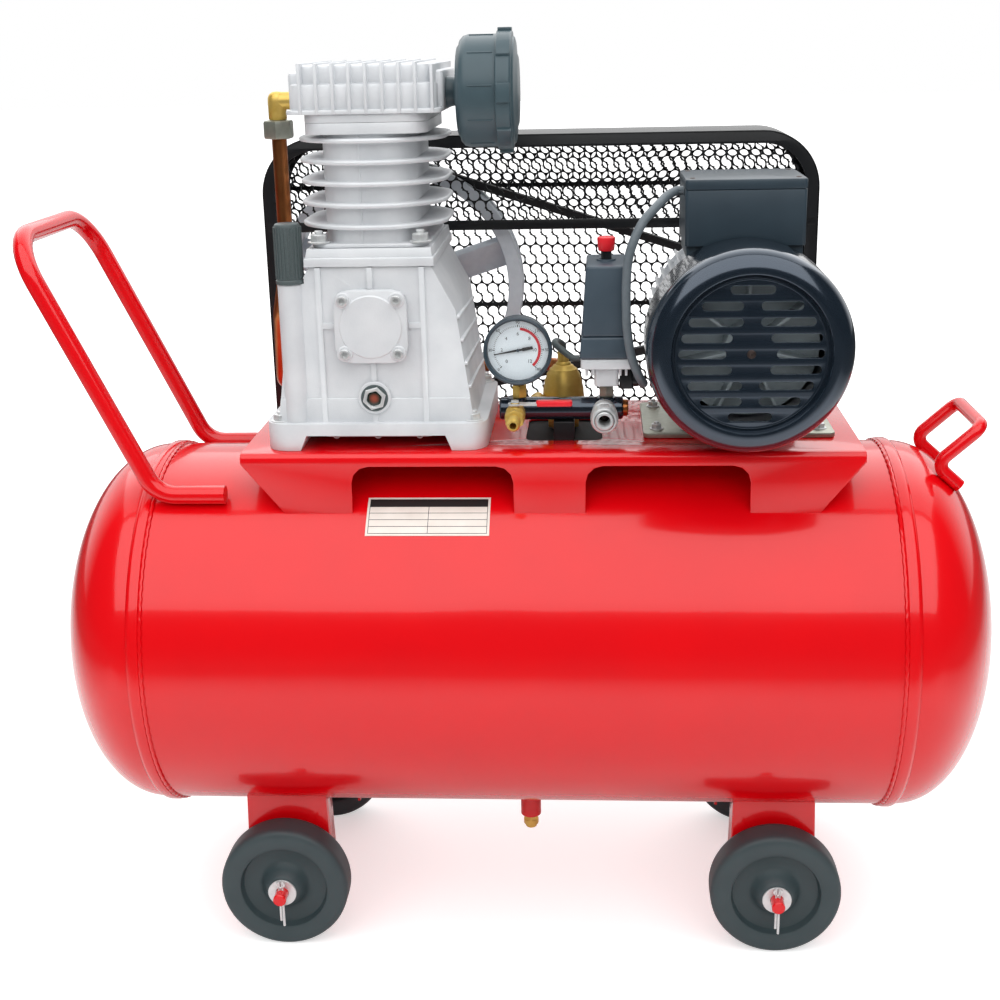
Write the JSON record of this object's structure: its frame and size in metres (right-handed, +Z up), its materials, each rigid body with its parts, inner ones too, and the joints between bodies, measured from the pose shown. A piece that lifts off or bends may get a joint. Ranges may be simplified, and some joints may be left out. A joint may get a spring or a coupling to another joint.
{
  "type": "belt-driven air compressor",
  "caption": "Belt-driven piston air compressor on a horizontal wheeled receiver, with a guarded flywheel, electric motor, pressure switch, gauge and outlets.",
  "frame": {"origin": "on the floor under the middle of the bounding box", "axes": "+X along the receiver towards the motor end, +Y from the front to the belt guard, +Z up"},
  "size_m": [0.9352, 0.3784, 0.8874],
  "materials": {
    "black_enamel": "gloss black enamel",
    "brass": "machined",
    "bright_steel": "bright plated",
    "cast_aluminium": "bead blasted casting",
    "clear_glass": "clear",
    "copper": "drawn copper tube",
    "grey_iron": "grey paint on castings",
    "red_enamel": "gloss enamel",
    "red_plastic": "gloss moulding",
    "rubber": "matt",
    "slate_plastic": "satin moulding"
  },
  "bodies": {
    "frame": {"tank_shell": "red_enamel", "tank_end_left": "red_enamel", "tank_end_right": "red_enamel", "drain_boss": "red_enamel", "drain_valve_body": "brass", "axle_left": "red_enamel", "leg_front_left": "red_enamel", "leg_rear_left": "red_enamel", "axle_right": "red_enamel", "leg_front_right": "red_enamel", "leg_rear_right": "red_enamel", "push_handle": "red_enamel", "tow_handle": "red_enamel", "deck": "red_enamel", "crankcase": "cast_aluminium", "bearing_cover": "cast_aluminium", "sump_cover": "cast_aluminium", "sight_glass": "bright_steel", "cylinder_block": "cast_aluminium", "valve_plate": "cast_aluminium", "cylinder_head": "cast_aluminium", "air_filter_body": "slate_plastic", "delivery_elbow": "brass", "delivery_nut": "brass", "delivery_pipe": "copper", "check_valve": "brass", "v_belt": "rubber", "motor_housing": "cast_aluminium", "fan_cowl": "black_enamel", "terminal_box": "black_enamel", "guard_frame": "black_enamel", "guard_mesh_rear": "black_enamel", "guard_mesh_front": "black_enamel", "manifold": "black_enamel", "manifold_riser": "black_enamel", "safety_valve": "brass", "gauge_case": "black_enamel", "gauge_lens": "clear_glass", "switch_base": "cast_aluminium", "switch_cover": "slate_plastic", "motor_lead": "rubber", "unloader_tube": "rubber", "ball_valve_body": "brass", "coupler_body": "bright_steel"},
    "flywheel_set": {"crankshaft": "bright_steel", "flywheel": "grey_iron"},
    "rotor": {"motor_shaft": "bright_steel", "motor_fan": "slate_plastic", "motor_pulley": "grey_iron"},
    "wheel_front_left": {"wheel_front_left": "slate_plastic"},
    "wheel_front_right": {"wheel_front_right": "slate_plastic"},
    "wheel_rear_left": {"wheel_rear_left": "slate_plastic"},
    "wheel_rear_right": {"wheel_rear_right": "slate_plastic"},
    "knob": {"switch_knob": "red_plastic"},
    "tap_lever": {"ball_valve_lever": "red_plastic"},
    "sleeve": {"coupler_sleeve": "bright_steel"},
    "drain_screw": {"drain_valve_screw": "brass"},
    "pointer": {"gauge_pointer": "black_enamel"},
    "filler_cap": {"breather_cap": "slate_plastic"},
    "filter_cover": {"air_filter_cover": "slate_plastic"}
  },
  "joints": [
    {"name": "flywheel_spin", "type": "hinge", "parent": "frame", "child": "flywheel_set", "pos_m": [-0.13042, 0.14585, 0.626], "axis": [0, 1, 0], "continuous": true},
    {"name": "motor_spin", "type": "hinge", "parent": "frame", "child": "rotor", "pos_m": [0.21308, 0.14585, 0.6085], "axis": [0, 1, 0], "continuous": true},
    {"name": "wheel_front_left_spin", "type": "hinge", "parent": "frame", "child": "wheel_front_left", "pos_m": [-0.23792, -0.13015, 0.06434], "axis": [0, 1, 0], "continuous": true},
    {"name": "wheel_front_right_spin", "type": "hinge", "parent": "frame", "child": "wheel_front_right", "pos_m": [0.25308, -0.13015, 0.06434], "axis": [0, 1, 0], "continuous": true},
    {"name": "wheel_rear_left_spin", "type": "hinge", "parent": "frame", "child": "wheel_rear_left", "pos_m": [-0.23792, 0.12785, 0.06434], "axis": [0, 1, 0], "continuous": true},
    {"name": "wheel_rear_right_spin", "type": "hinge", "parent": "frame", "child": "wheel_rear_right", "pos_m": [0.25308, 0.12785, 0.06434], "axis": [0, 1, 0], "continuous": true},
    {"name": "knob_push", "type": "slide", "parent": "frame", "child": "knob", "axis": [0, 0, 1], "range_m": [-0.006, 0]},
    {"name": "tap_lever_turn", "type": "hinge", "parent": "frame", "child": "tap_lever", "pos_m": [0.00058, -0.08145, 0.5485], "axis": [0, 0, 1], "range_deg": [-90, 0]},
    {"name": "sleeve_slide", "type": "slide", "parent": "frame", "child": "sleeve", "axis": [0, 1, 0], "range_m": [0, 0.006], "stiffness_N_per_m": 600, "springref_m": -0.002},
    {"name": "drain_screw_turn", "type": "hinge", "parent": "frame", "child": "drain_screw", "pos_m": [0.00558, -0.00115, 0.066], "axis": [0, 0, -1], "range_deg": [0, 360]},
    {"name": "pointer_sweep", "type": "hinge", "parent": "frame", "child": "pointer", "pos_m": [0.00358, -0.06815, 0.597], "axis": [0, 1, 0], "range_deg": [-37.5, 232.5], "stiffness_Nm_per_rad": 0.001},
    {"name": "filler_cap_turn", "type": "hinge", "parent": "frame", "child": "filler_cap", "pos_m": [-0.20542, -0.08415, 0.69], "axis": [0, 0, 1], "range_deg": [0, 360]},
    {"name": "filter_cover_twist", "type": "hinge", "parent": "frame", "child": "filter_cover", "pos_m": [-0.00242, -0.03115, 0.8319], "axis": [1, 0, 0], "range_deg": [0, 25]}
  ],
  "couplings": [
    {"joint": "motor_spin", "follows": "flywheel_spin", "ratio": 3.411}
  ]
}
